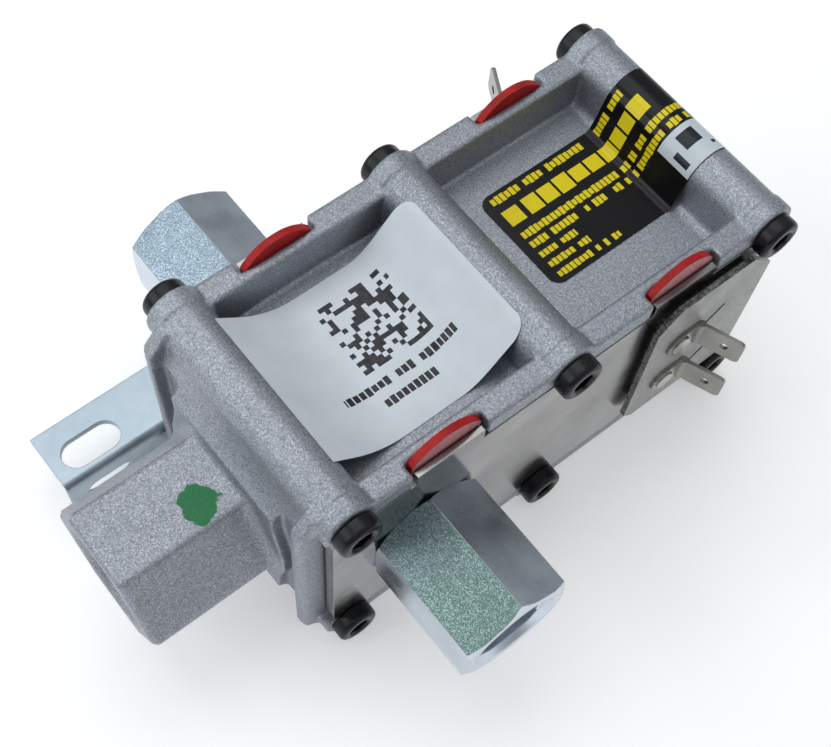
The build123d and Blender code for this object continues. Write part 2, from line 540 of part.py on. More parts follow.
def drape(clear, first, last, plan):
    """Side profile of a sheet that lies `clear` above the pocket floor and touches the ribs at each end."""
    radius = RIB_RADIUS + clear
    floor = POCKET_FLOOR + clear
    points = []
    if first["rib"] is not None:
        touch = tangent_angle(plan[0], floor, first["rib"], SCREW_HALF_HEIGHT, radius, 1)
        points += arc_points(first["rib"], SCREW_HALF_HEIGHT, radius, radians(first["angle"]), touch)
    points += [(plan[0], floor), (plan[1], floor)]
    touch = tangent_angle(plan[1], floor, last["rib"], SCREW_HALF_HEIGHT, radius, -1) + 2 * pi
    points += arc_points(last["rib"], SCREW_HALF_HEIGHT, radius, touch, radians(last["angle"]))
    return points


for label, first, last, plan, ys, corners in (
    ("label_plain", {"rib": -SCREW_PITCH, "angle": 45}, {"rib": 0.0, "angle": 118},
     (14.2 - SCREW_PITCH, -13.2), (-16.2, 17.6), ((1, 1, 3.2), (1, -1, 3.2), (-1, -1, 3.6), (-1, 1, 0.6))),
    ("label_rating", {"rib": None}, {"rib": SCREW_PITCH, "angle": 52}, (12.2, SCREW_PITCH - 7.6),
     (-9.3, 13.8), ((-1, 1, 2.4), (-1, -1, 2.4))),
):
    lower = drape(0.04, first, last, plan)
    label_part(lower, drape(0.04 + LABEL_THICKNESS, first, last, plan), ys, corners, label)
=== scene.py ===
"""Finishes, fine detail, light and camera for a two-outlet gas valve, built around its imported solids."""

import json
import logging
import math
from dataclasses import dataclass
from enum import Enum
from typing import Optional, Sequence, Union

import bmesh
import bpy
from bpy.types import Material, Mesh, NodeSocket, Object
from mathutils import Matrix, Quaternion, Vector


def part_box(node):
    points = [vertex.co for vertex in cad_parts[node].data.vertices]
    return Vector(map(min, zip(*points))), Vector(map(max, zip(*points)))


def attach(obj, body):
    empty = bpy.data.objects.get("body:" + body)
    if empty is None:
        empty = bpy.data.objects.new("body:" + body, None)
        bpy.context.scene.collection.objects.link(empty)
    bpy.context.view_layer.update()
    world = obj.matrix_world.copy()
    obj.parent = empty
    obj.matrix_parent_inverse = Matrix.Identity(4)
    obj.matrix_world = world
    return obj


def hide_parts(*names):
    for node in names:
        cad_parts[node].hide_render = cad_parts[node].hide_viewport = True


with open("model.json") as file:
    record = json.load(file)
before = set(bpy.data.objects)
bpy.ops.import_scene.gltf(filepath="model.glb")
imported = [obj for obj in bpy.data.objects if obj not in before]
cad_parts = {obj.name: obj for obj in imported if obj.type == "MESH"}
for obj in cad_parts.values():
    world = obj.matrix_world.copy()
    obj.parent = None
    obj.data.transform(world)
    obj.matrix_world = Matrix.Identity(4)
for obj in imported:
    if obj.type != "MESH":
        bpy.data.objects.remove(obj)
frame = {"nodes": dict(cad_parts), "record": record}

LOG = logging.getLogger("gas_valve")
MM = 0.001
HOUSING = "housing"
THREAD_STEPS = 48   # to a turn of a thread
ARC_STEPS = 24      # to a label's arc on a rib
SAME_MM = 1e-3      # two places closer than this are one
LABEL_STEP_MM = 0.5
Colour = tuple[float, float, float]
Value = Union[NodeSocket, float, tuple, Vector]


class Side(Enum):
    """The two covers: the sign of Y they lie on."""

    RIGHT = -1
    LEFT = 1

    @property
    def word(self) -> str:
        """The side's name as the nodes spell it."""
        return self.name.lower()

    @property
    def blade_body(self) -> str:
        """The body of this side's moving blade."""
        return f"blade_{self.word}"


class Axis(Enum):
    """A turn that lays something built along Z onto another axis."""

    X = (0.0, math.pi / 2, 0.0)
    Y = (-math.pi / 2, 0.0, 0.0)
    MINUS_Y = (math.pi / 2, 0.0, 0.0)


# ------------------------------------------------------------------ writing materials


class NodeWriter:
    """Writes the nodes of one material around a Principled shader."""

    def __init__(self, name: str, metallic: float = 0.0, **sockets: float) -> None:
        """Starts a material.

        Args:
            name: the material's name.
            metallic: the shader's metallic value.
            sockets: other constant shader inputs, by name with underscores for spaces.
        """
        self.material: Material = bpy.data.materials.new(name)
        self.material.use_nodes = True
        self.tree = self.material.node_tree
        self.tree.nodes.clear()
        output = self.tree.nodes.new("ShaderNodeOutputMaterial")
        self.shader = self.tree.nodes.new("ShaderNodeBsdfPrincipled")
        self.tree.links.new(self.shader.outputs["BSDF"], output.inputs["Surface"])
        self.shader.inputs["Metallic"].default_value = metallic
        for key, value in sockets.items():
            self.shader.inputs[key.replace("_", " ").title().replace("Ior", "IOR")].default_value = value
        self.place = self.tree.nodes.new("ShaderNodeTexCoord").outputs["Object"]
        self.facing = self.tree.nodes.new("ShaderNodeNewGeometry").outputs["Normal"]

    def set(self, socket: NodeSocket, value: Value) -> None:
        """Links a socket to another, or sets its constant."""
        if isinstance(value, NodeSocket):
            self.tree.links.new(value, socket)
        elif isinstance(value, (tuple, Vector)) and len(value) == 3 and len(socket.default_value) == 4:
            socket.default_value = (*value, 1.0)
        else:
            socket.default_value = value

    def maths(self, operation: str, first: Value, second: Value = 0.0) -> NodeSocket:
        """One Math node's result."""
        node = self.tree.nodes.new("ShaderNodeMath")
        node.operation = operation
        self.set(node.inputs[0], first)
        self.set(node.inputs[1], second)
        return node.outputs[0]

    def vector(self, operation: str, first: Value, second: Value = (0.0, 0.0, 0.0)) -> NodeSocket:
        """One Vector Math node's result; a dot product gives its value."""
        node = self.tree.nodes.new("ShaderNodeVectorMath")
        node.operation = operation
        self.set(node.inputs[0], first)
        self.set(node.inputs[1], second)
        return node.outputs["Value" if operation in ("DOT_PRODUCT", "LENGTH") else "Vector"]

    def stretched(self, scale: tuple[float, float, float]) -> NodeSocket:
        """The object's coordinates times a scale for each axis."""
        return self.vector("MULTIPLY", self.place, scale)

    def noise(self, scale: float, detail: float = 2.0, at: Optional[NodeSocket] = None) -> NodeSocket:
        """Noise from 0 to 1, `scale` features to the metre."""
        node = self.tree.nodes.new("ShaderNodeTexNoise")
        node.inputs["Scale"].default_value = scale
        node.inputs["Detail"].default_value = detail
        self.set(node.inputs["Vector"], at or self.place)
        return node.outputs["Fac"]

    def crystals(self, scale: float, at: Optional[NodeSocket] = None) -> tuple[NodeSocket, NodeSocket]:
        """Cells like metal crystals.

        Returns:
            The distance to the cell's centre, and a random value that each cell keeps.
        """
        node = self.tree.nodes.new("ShaderNodeTexVoronoi")
        node.inputs["Scale"].default_value = scale
        self.set(node.inputs["Vector"], at or self.place)
        split = self.tree.nodes.new("ShaderNodeSeparateColor")
        self.tree.links.new(node.outputs["Color"], split.inputs["Color"])
        return node.outputs["Distance"], split.outputs["Red"]

    def remap(self, value: Value, low: float, high: float, to_low: float = 0.0,
              to_high: float = 1.0) -> NodeSocket:
        """Maps a range onto another and holds it at both ends."""
        node = self.tree.nodes.new("ShaderNodeMapRange")
        for socket, item in zip(node.inputs, (value, low, high, to_low, to_high)):
            self.set(socket, item)
        return node.outputs["Result"]

    def blend(self, share: Value, first: Value, second: Value) -> NodeSocket:
        """Mixes two colours."""
        node = self.tree.nodes.new("ShaderNodeMix")
        node.data_type = "RGBA"
        self.set(node.inputs["Factor"], share)
        colours = [s for s in node.inputs if s.type == "RGBA"]
        self.set(colours[0], first)
        self.set(colours[1], second)
        return next(s for s in node.outputs if s.type == "RGBA")

    def relief(self, height: Value, depth_mm: float, below: Optional[NodeSocket] = None,
               strength: float = 1.0) -> NodeSocket:
        """A bumped normal, `depth_mm` deep from black to white."""
        node = self.tree.nodes.new("ShaderNodeBump")
        node.inputs["Strength"].default_value = strength
        node.inputs["Distance"].default_value = depth_mm * MM
        self.set(node.inputs["Height"], height)
        if below is not None:
            self.set(node.inputs["Normal"], below)
        return node.outputs["Normal"]

    def worn_edge(self, radius_mm: float) -> NodeSocket:
        """A normal that rounds the edges by a small radius."""
        node = self.tree.nodes.new("ShaderNodeBevel")
        node.samples = 6
        node.inputs["Radius"].default_value = radius_mm * MM
        return node.outputs["Normal"]

    def towards(self, direction: Sequence[float], low: float = 0.85, high: float = 0.95) -> NodeSocket:
        """1 on faces that look along a direction, 0 elsewhere."""
        along = tuple(Vector(direction).normalized())
        return self.remap(self.vector("DOT_PRODUCT", self.facing, along), low, high)

    def axes(self, source: Optional[NodeSocket] = None) -> tuple[NodeSocket, NodeSocket, NodeSocket]:
        """The three parts of a vector, the object's coordinates unless another is given."""
        node = self.tree.nodes.new("ShaderNodeSeparateXYZ")
        self.set(node.inputs[0], source or self.place)
        return tuple(node.outputs)

    def finish(self, colour: Value, roughness: Value, normal: Optional[NodeSocket] = None) -> Material:
        """Connects the shader and gives the material."""
        self.set(self.shader.inputs["Base Color"], colour)
        self.set(self.shader.inputs["Roughness"], roughness)
        if normal is not None:
            self.set(self.shader.inputs["Normal"], normal)
        return self.material


# ------------------------------------------------------------------ finishes


@dataclass(frozen=True)
class CastFinish:
    """Blasted die casting: a fine frosted grain that glitters, with a dab of green paint on the inlet boss."""

    slot: str = "cast_aluminium"
    light: Colour = (0.38, 0.40, 0.445)
    dark: Colour = (0.19, 0.205, 0.235)
    paint: Colour = (0.0, 0.17, 0.045)
    dab: tuple[float, float] = (18.2, -3.0)
    dab_radius: float = 3.8
    boss_top: float = 13.2

    def build(self) -> Material:
        """Writes the material."""
        w = NodeWriter(self.slot, metallic=0.86)
        broad = w.noise(42, 3)
        middle = w.noise(2400, 3)
        fine = w.noise(4600, 2)
        _, crystal = w.crystals(6400)
        grey = w.blend(w.remap(broad, 0.3, 0.7, 0.0, 0.35), self.light, self.dark)
        grey = w.blend(w.remap(middle, 0.4, 0.68, 0.0, 0.75), grey, self.dark)
        grey = w.blend(w.remap(crystal, 0.6, 1.0, 0.0, 0.5), grey, (0.76, 0.775, 0.81))
        height = w.maths("ADD", middle, w.maths("MULTIPLY", fine, 0.4))
        normal = w.relief(height, 0.04)
        normal = w.relief(crystal, 0.01, normal)
        roughness = w.remap(crystal, 0.0, 1.0, 0.6, 0.46)
        x, y, z = w.axes()
        dx = w.maths("DIVIDE", w.maths("SUBTRACT", x, self.dab[0] * MM), self.dab_radius * MM)
        dy = w.maths("DIVIDE", w.maths("SUBTRACT", y, self.dab[1] * MM), self.dab_radius * MM)
        reach = w.maths("SQRT", w.maths("ADD", w.maths("MULTIPLY", dx, dx), w.maths("MULTIPLY", dy, dy)))
        reach = w.maths("ADD", reach, w.remap(w.noise(260, 3), 0.25, 0.75, -0.34, 0.34))
        painted = w.maths("MULTIPLY", w.remap(reach, 0.98, 1.06, 1.0, 0.0),
                          w.maths("GREATER_THAN", z, self.boss_top * MM))
        worn = w.maths("MULTIPLY", painted, w.remap(middle, 0.3, 0.5, 0.94, 1.0))
        grey = w.blend(worn, grey, self.paint)
        w.set(w.shader.inputs["Metallic"], w.remap(painted, 0.0, 1.0, 0.86, 0.0))
        return w.finish(grey, roughness, normal)


@dataclass(frozen=True)
class PlatedFinish:
    """Plated or plain steel sheet, bar or wire: blotched, with a fine frost and rounded edges."""

    slot: str
    light: Colour
    dark: Colour
    smooth: float = 0.22
    rough: float = 0.38
    frost_mm: float = 0.012
    frost_per_m: float = 3400.0
    brushed: tuple[float, float, float] = (1.0, 1.0, 1.0)
    edge_mm: float = 0.18
    frosted_side: Optional[tuple[float, float, float]] = None
    frost_axis_x: float = 50.9
    frost_from: float = 10.2
    frost_tint: Colour = (0.26, 0.34, 0.41)
    green_tint: Colour = (0.12, 0.25, 0.18)

    def build(self) -> Material:
        """Writes the material."""
        w = NodeWriter(self.slot, metallic=1.0)
        blotch = w.noise(95, 4)
        drawn = w.noise(700, 3, w.stretched(self.brushed))
        fine = w.noise(self.frost_per_m, 2)
        _, crystal = w.crystals(1.8 * self.frost_per_m)
        metal = w.blend(w.remap(blotch, 0.3, 0.7), self.dark, self.light)
        metal = w.blend(w.remap(drawn, 0.5, 0.8, 0.0, 0.35), metal, self.dark)
        roughness = w.remap(blotch, 0.3, 0.7, self.smooth, self.rough)
        grooves = w.maths("ADD", fine, w.maths("MULTIPLY", drawn, 0.6))
        normal = w.relief(grooves, self.frost_mm, w.worn_edge(self.edge_mm))
        if self.frosted_side is not None:
            x, y, z = w.axes()
            off = w.maths("SUBTRACT", x, self.frost_axis_x * MM)
            squares = w.maths("ADD", w.maths("MULTIPLY", off, off), w.maths("MULTIPLY", z, z))
            radius = w.maths("SQRT", squares)
            frosted = w.maths("MULTIPLY", w.towards(self.frosted_side),
                              w.maths("GREATER_THAN", radius, self.frost_from * MM))
            tint = w.blend(w.remap(w.maths("ADD", y, w.remap(blotch, 0.3, 0.7, -6 * MM, 6 * MM)), -0.04, -0.02),
                           self.green_tint, self.frost_tint)
            metal = w.blend(w.maths("MULTIPLY", frosted, 0.92), metal, tint)
            dim = w.maths("MULTIPLY", frosted, w.remap(fine, 0.42, 0.62, 0.0, 0.55))
            metal = w.blend(dim, metal, (0.09, 0.13, 0.13))
            glint = w.maths("MULTIPLY", frosted, w.remap(crystal, 0.5, 1.0, 0.0, 0.66))
            metal = w.blend(glint, metal, (0.74, 0.85, 0.94))
            grit = w.maths("MULTIPLY", frosted, w.maths("ADD", crystal, fine))
            normal = w.relief(grit, 0.03, normal)
            roughness = w.maths("ADD", roughness, w.maths("MULTIPLY", frosted, 0.14))
        return w.finish(metal, roughness, normal)


@dataclass(frozen=True)
class BlackOxideFinish:
    """Oiled black oxide with a satin sheen and lightly rubbed rims."""

    slot: str = "black_screw"

    def build(self) -> Material:
        """Writes the material."""
        w = NodeWriter(self.slot, specular_ior_level=0.3)
        rub = w.noise(420, 4)
        fine = w.noise(2600, 2)
        colour = w.blend(w.remap(rub, 0.35, 0.75), (0.002, 0.002, 0.003), (0.008, 0.0085, 0.011))
        roughness = w.remap(rub, 0.3, 0.7, 0.24, 0.4)
        return w.finish(colour, roughness, w.relief(fine, 0.02, w.worn_edge(0.12)))


@dataclass(frozen=True)
class RubberFinish:
    """Moulded or cut rubber; a cut sheet is paler on its broad faces, where a pale pink reflection is painted
    in patches as a painted sheen.
    """

    slot: str
    colour: Colour
    deep: Colour
    # colour of the painted reflection on the outward broad faces; None for none
    dusted: Optional[Colour] = None

    def build(self) -> Material:
        """Writes the material."""
        w = NodeWriter(self.slot, specular_ior_level=0.28)
        cloud = w.noise(260, 3)
        fine = w.noise(2400, 2)
        colour = w.blend(w.remap(cloud, 0.35, 0.7), self.deep, self.colour)
        # painted reflection: outward-facing broad faces are mixed in noisy patches towards a pale pink
        if self.dusted is not None:
            _, side, _ = w.axes(w.facing)
            _, place, _ = w.axes()
            broad = w.remap(w.maths("MULTIPLY", side, w.maths("SIGN", place)), 0.8, 0.95)
            sheen_patches = w.remap(w.noise(1500, 3), 0.36, 0.64, 0.5, 0.92)
            colour = w.blend(w.maths("MULTIPLY", broad, sheen_patches), colour, self.dusted)
        return w.finish(colour, w.remap(fine, 0.3, 0.7, 0.42, 0.62), w.relief(fine, 0.03, w.worn_edge(0.15)))


@dataclass(frozen=True)
class BoardFinish:
    """Pressed insulating sheet: an even face and darker, speckled cut edges."""

    slot: str
    face: Colour
    cloud: Colour
    edge: Colour
    fleck: Colour
    sheen: float = 0.5
    flecks: float = 0.25

    def build(self) -> Material:
        """Writes the material."""
        w = NodeWriter(self.slot, specular_ior_level=0.5)
        broad = w.noise(120, 4)
        fibre = w.noise(1500, 3, w.stretched((1.0, 1.0, 0.35)))
        _, grain = w.crystals(2400)
        _, side, _ = w.axes(w.facing)
        cut = w.remap(w.maths("ABSOLUTE", side), 0.5, 0.7, 1.0, 0.0)
        face = w.blend(w.remap(broad, 0.3, 0.7), self.face, self.cloud)
        face = w.blend(w.remap(fibre, 0.55, 0.75, 0.0, self.flecks), face, self.fleck)
        rim = w.blend(w.remap(grain, 0.35, 0.75), self.edge, self.fleck)
        colour = w.blend(cut, face, rim)
        roughness = w.remap(fibre, 0.3, 0.7, self.sheen - 0.08, self.sheen + 0.12)
        return w.finish(colour, roughness, w.relief(w.maths("ADD", fibre, grain), 0.02))


@dataclass(frozen=True)
class Row:
    """A row of plain dashes: its centre line, height, start, end and pitch in mm, and its seed."""

    centre: float
    height: float
    start: float
    end: float
    pitch: float
    seed: float
    gap: float = 0.16
    width: float = 0.8


@dataclass(frozen=True)
class Patch:
    """A rectangle on a label, in mm along it and across it."""

    start: float
    end: float
    low: float
    high: float


@dataclass(frozen=True)
class PrintFinish:
    """A printed label: rows of plain dashes, plain patches and a field of blocks, under a thin gloss."""

    slot: str
    ground: Colour
    ink: Colour
    rows: tuple[Row, ...] = ()
    solids: tuple[Patch, ...] = ()
    blocks: Optional[Patch] = None
    block_size: float = 1.05
    panel: Optional[Patch] = None
    panel_colour: Colour = (0.62, 0.68, 0.72)
    panel_marks: tuple[Patch, ...] = ()
    roughness: tuple[float, float] = (0.26, 0.38)

    def inside(self, w: NodeWriter, u: NodeSocket, v: NodeSocket, patch: Patch) -> NodeSocket:
        """1 inside a rectangle, 0 outside."""
        along = w.maths("COMPARE", u, (patch.start + patch.end) / 2)
        along.node.inputs[2].default_value = abs(patch.end - patch.start) / 2
        across = w.maths("COMPARE", v, (patch.low + patch.high) / 2)
        across.node.inputs[2].default_value = abs(patch.high - patch.low) / 2
        return w.maths("MULTIPLY", along, across)

    def chance(self, w: NodeWriter, first: Value, second: Value) -> NodeSocket:
        """A random value for each pair of whole numbers."""
        join = w.tree.nodes.new("ShaderNodeCombineXYZ")
        w.set(join.inputs[0], first)
        w.set(join.inputs[1], second)
        white = w.tree.nodes.new("ShaderNodeTexWhiteNoise")
        white.noise_dimensions = "2D"
        w.set(white.inputs["Vector"], join.outputs[0])
        return white.outputs["Value"]

    def dashes(self, w: NodeWriter, u: NodeSocket, v: NodeSocket, row: Row) -> NodeSocket:
        """1 on the dashes of a row."""
        step = w.maths("DIVIDE", u, row.pitch)
        chance = self.chance(w, w.maths("FLOOR", step), row.seed)
        printed = w.maths("GREATER_THAN", chance, row.gap)
        place = w.maths("FRACT", step)
        letter = w.maths("LESS_THAN", place, row.width)
        half = row.height / 2
        within = self.inside(w, u, v, Patch(row.start, row.end, row.centre - half, row.centre + half))
        level = w.maths("ABSOLUTE", w.maths("SUBTRACT", v, row.centre))
        tall = w.maths("LESS_THAN", level, w.remap(chance, row.gap, 1.0, row.height * 0.36, row.height * 0.5))
        return w.maths("MULTIPLY", w.maths("MULTIPLY", printed, letter), w.maths("MULTIPLY", within, tall))

    def build(self) -> Material:
        """Writes the material."""
        w = NodeWriter(self.slot, specular_ior_level=0.2, coat_weight=0.05, coat_roughness=0.16)
        run = w.tree.nodes.new("ShaderNodeUVMap")
        run.uv_map = "run"
        u, v, _ = w.axes(w.vector("SCALE", run.outputs["UV"]))
        u.node.inputs[0].links[0].from_node.inputs["Scale"].default_value = 1000.0
        cloud = w.noise(140, 3)
        ground = w.blend(w.remap(cloud, 0.3, 0.75, 0.0, 1.0), self.ground, tuple(0.9 * c for c in self.ground))
        printed: Value = 0.0
        for row in self.rows:
            printed = w.maths("MAXIMUM", printed, self.dashes(w, u, v, row))
        for patch in self.solids:
            printed = w.maths("MAXIMUM", printed, self.inside(w, u, v, patch))
        if self.blocks is not None:
            column, line = (
                w.maths("FLOOR", w.maths("DIVIDE", w.maths("SUBTRACT", place, first), self.block_size))
                for place, first in ((u, self.blocks.start), (v, self.blocks.low)))
            dark = w.maths("GREATER_THAN", self.chance(w, column, line), 0.5)
            printed = w.maths("MAXIMUM", printed, w.maths("MULTIPLY", dark, self.inside(w, u, v, self.blocks)))
        ink = w.blend(w.remap(w.noise(900, 2), 0.3, 0.7, 0.0, 0.05), self.ink, self.ground)
        colour = w.blend(printed, ground, ink)
        if self.panel is not None:
            marks: Value = 0.0
            for patch in self.panel_marks:
                marks = w.maths("MAXIMUM", marks, self.inside(w, u, v, patch))
            panel = w.blend(marks, self.panel_colour, (0.02, 0.022, 0.03))
            colour = w.blend(self.inside(w, u, v, self.panel), colour, panel)
        ripple = w.noise(110, 3)
        roughness = w.remap(ripple, 0.3, 0.7, *self.roughness)
        return w.finish(colour, roughness, w.relief(ripple, 0.12, strength=0.6))


FINISHES = (
    CastFinish(),
    # the cover plate's colours are set low as a painted dark reflection, standing in for the darker floor it
    # mirrors
    PlatedFinish("zinc_plate", (0.42, 0.415, 0.41), (0.23, 0.225, 0.225), 0.14, 0.28, 0.006,
                 brushed=(0.08, 1.0, 1.0)),
    PlatedFinish("zinc_fitting", (0.66, 0.73, 0.80), (0.5, 0.55, 0.62), 0.2, 0.34, 0.014,
                 brushed=(1.0, 0.1, 1.0), edge_mm=0.3, frosted_side=(-0.5, 0.0, 0.866)),
    PlatedFinish("bracket_zinc", (0.45, 0.52, 0.57), (0.28, 0.34, 0.39), 0.3, 0.46, 0.02, edge_mm=0.25),
    PlatedFinish("terminal_metal", (0.42, 0.41, 0.385), (0.25, 0.24, 0.225), 0.18, 0.34, 0.006,
                 brushed=(1.0, 1.0, 0.1)),
    PlatedFinish("rivet_steel", (0.62, 0.6, 0.57), (0.42, 0.4, 0.38), 0.24, 0.42),
    PlatedFinish("anchor_steel", (0.56, 0.56, 0.56), (0.4, 0.4, 0.4), 0.28, 0.42, brushed=(0.1, 1.0, 1.0)),
    PlatedFinish("bimetal", (0.6, 0.58, 0.54), (0.46, 0.43, 0.39), 0.26, 0.4, brushed=(0.06, 1.0, 1.0)),
    PlatedFinish("heater_ribbon", (0.4, 0.38, 0.37), (0.2, 0.19, 0.2), 0.36, 0.55, edge_mm=0.06),
    PlatedFinish("lead_wire", (0.6, 0.5, 0.41), (0.46, 0.37, 0.3), 0.26, 0.4, edge_mm=0.05),
    BlackOxideFinish(),
    # the third colour is a painted reflection on the gasket's outward faces
    RubberFinish("silicone", (0.50, 0.012, 0.012), (0.34, 0.006, 0.006), (0.50, 0.27, 0.30)),
    RubberFinish("seat_rubber", (0.035, 0.036, 0.04), (0.015, 0.015, 0.018)),
    BoardFinish("fibre_board", (0.33, 0.33, 0.315), (0.25, 0.25, 0.235), (0.05, 0.055, 0.05),
                (0.22, 0.23, 0.21), 0.34),
    BoardFinish("mica", (0.5, 0.44, 0.33), (0.36, 0.31, 0.23), (0.2, 0.17, 0.13), (0.62, 0.57, 0.48), 0.3, 0.5),
    BoardFinish("ceramic", (0.84, 0.82, 0.76), (0.76, 0.74, 0.68), (0.8, 0.78, 0.72), (0.6, 0.57, 0.5),
                0.6, 0.1),
    PrintFinish(
        "label_white", (0.72, 0.765, 0.81), (0.012, 0.012, 0.016),
        rows=(Row(-5.7, 1.9, 48.3, 74.4, 1.36, 3.0), Row(-9.4, 1.9, 54.4, 66.2, 1.3, 11.0, 0.0)),
        blocks=Patch(55.2, 71.2, -2.8, 13.2), block_size=1.0,
    ),
    PrintFinish(
        "label_black", (0.004, 0.004, 0.005), (0.84, 0.68, 0.012),
        rows=(Row(12.0, 1.9, 96.4, 134.0, 1.15, 2.0), Row(7.5, 4.3, 101.4, 136.5, 3.9, 17.0, 0.0, 0.86),
              Row(2.9, 1.8, 96.4, 144.0, 1.05, 5.0), Row(0.4, 1.8, 96.4, 141.0, 1.05, 23.0),
              Row(-2.3, 1.6, 96.4, 105.5, 1.05, 31.0), Row(-4.9, 1.6, 96.4, 106.5, 1.05, 37.0),
              Row(-7.5, 1.6, 96.4, 112.0, 1.05, 41.0)),
        solids=(Patch(96.6, 100.2, 5.6, 9.3),),
        panel=Patch(130.8, 150.0, -9.2, -0.9),
        panel_marks=(Patch(134.8, 138.6, -5.6, -2.2), Patch(132.0, 133.4, -8.0, -4.4),
                     Patch(139.6, 140.6, -7.4, -6.6)),
        roughness=(0.16, 0.28),
    ),
)


class Palette:
    """The finished materials, by the record's slot names."""

    def __init__(self) -> None:
        """Builds every finish once."""
        self.materials: dict[str, Material] = {f.slot: f.build() for f in FINISHES}
        record = frame["record"]
        self.slot_of: dict[str, str] = {s["node"]: s["material_slot"] for s in record["subparts"]}

    def __getitem__(self, slot: str) -> Material:
        """The material of a slot."""
        return self.materials[slot]


# ------------------------------------------------------------------ making meshes


def link(name: str, mesh: Mesh) -> Object:
    """Puts a mesh in the scene as an object at the origin."""
    obj = bpy.data.objects.new(name, mesh)
    bpy.context.scene.collection.objects.link(obj)
    return obj


def merged_copy(node: str, name: str) -> Object:
    """A copy of a CAD node with its loose triangles joined."""
    bm = bmesh.new()
    bm.from_mesh(frame["nodes"][node].data)
    bmesh.ops.remove_doubles(bm, verts=bm.verts, dist=2e-6)
    for layer in (bm.loops.layers.float_vector, bm.loops.layers.uv):
        for item in list(layer.values()):
            layer.remove(item)
    mesh = bpy.data.meshes.new(name)
    bm.to_mesh(mesh)
    bm.free()
    for attribute in ("custom_normal", "sharp_edge", "sharp_face"):
        if attribute in mesh.attributes:
            mesh.attributes.remove(mesh.attributes[attribute])
    return link(name, mesh)


def settle(obj: Object) -> Object:
    """Turns an object's modifiers into its plain mesh."""
    graph = bpy.context.evaluated_depsgraph_get()
    mesh = bpy.data.meshes.new_from_object(obj.evaluated_get(graph), depsgraph=graph)
    old = obj.data
    obj.modifiers.clear()
    obj.data = mesh
    mesh.name = obj.name
    if old.users == 0:
        bpy.data.meshes.remove(old)
    return obj


def smooth_by_angle(obj: Object, degrees: float = 32.0) -> Object:
    """Smooth faces with crisp edges above an angle, and flat faces kept flat.

    Args:
        obj: the piece.
        degrees: edges that turn more than this stay crisp.

    Returns:
        The same object, with its normals settled.
    """
    bm = bmesh.new()
    bm.from_mesh(obj.data)
    for face in bm.faces:
        face.smooth = True
    for edge in bm.edges:
        edge.smooth = len(edge.link_faces) == 2 and edge.calc_face_angle(0.0) < math.radians(degrees)
    bm.to_mesh(obj.data)
    bm.free()
    weighted = obj.modifiers.new("weighted", "WEIGHTED_NORMAL")
    weighted.weight = 100
    weighted.keep_sharp = True
    return settle(obj)


def lofted(name: str, rings: Sequence[Sequence[Vector]]) -> Mesh:
    """A closed mesh over rings of equal count; the first and last rings are closed by a centre point.

    Args:
        name: the mesh's name.
        rings: rings of points, in order.

    Returns:
        The mesh, with its faces turned outwards.
    """
    bm = bmesh.new()
    rows = [[bm.verts.new(p) for p in ring] for ring in rings]
    count = len(rows[0])
    for low, high in zip(rows, rows[1:]):
        for i in range(count):
            j = (i + 1) % count
            bm.faces.new((low[i], low[j], high[j], high[i]))
    for row in (rows[0], rows[-1]):
        centre = bm.verts.new(sum((v.co for v in row), Vector()) / count)
        for i in range(count):
            bm.faces.new((row[i], row[(i + 1) % count], centre))
    bmesh.ops.recalc_face_normals(bm, faces=bm.faces)
    mesh = bpy.data.meshes.new(name)
    bm.to_mesh(mesh)
    bm.free()
    return mesh


def hexagon(flats: float, angle: float) -> float:
    """The radius of a hexagon, a corner at angle 0, in one direction."""
    turn = (angle % (math.pi / 3)) - math.pi / 6
    return flats / 2 / math.cos(turn)


class GeometryTree:
    """A Geometry Nodes tree with named inputs, applied to an object and settled into its mesh."""

    def __init__(self, name: str, inputs: Sequence[tuple[str, str]]) -> None:
        """Starts a tree with its interface.

        Args:
            name: the tree's name.
            inputs: name and socket type of each input after the geometry.
        """
        self.group = bpy.data.node_groups.new(name, "GeometryNodeTree")
        self.group.interface.new_socket("Geometry", in_out="INPUT", socket_type="NodeSocketGeometry")
        for label, kind in inputs:
            self.group.interface.new_socket(label, in_out="INPUT", socket_type=kind)
        self.group.interface.new_socket("Geometry", in_out="OUTPUT", socket_type="NodeSocketGeometry")
        self.source = self.group.nodes.new("NodeGroupInput")
        self.sink = self.group.nodes.new("NodeGroupOutput")

    def add(self, kind: str, links: dict[str, Union[NodeSocket, float, tuple]],
            **settings: str) -> bpy.types.Node:
        """Adds a node, links or sets its inputs, and gives it."""
        node = self.group.nodes.new(kind)
        for key, value in settings.items():
            setattr(node, key, value)
        for key, value in links.items():
            socket = node.inputs[key]
            if isinstance(value, NodeSocket):
                self.group.links.new(value, socket)
            else:
                socket.default_value = value
        return node

    def close(self, geometry: NodeSocket) -> None:
        """Ends the tree in Realize Instances and Set Material."""
        real = self.add("GeometryNodeRealizeInstances", {"Geometry": geometry})
        dressed = self.add("GeometryNodeSetMaterial",
                           {"Geometry": real.outputs[0], "Material": self.source.outputs["Finish"]})
        self.group.links.new(dressed.outputs[0], self.sink.inputs[0])

    def apply(self, obj: Object, values: dict[str, object]) -> Object:
        """Runs the tree on an object and keeps the result as its plain mesh."""
        modifier = obj.modifiers.new(self.group.name, "NODES")
        modifier.node_group = self.group
        ids = {item.name: item.identifier for item in self.group.interface.items_tree if item.in_out == "INPUT"}
        for label, value in values.items():
            modifier[ids[label]] = value
        obj.update_tag()
        return settle(obj)


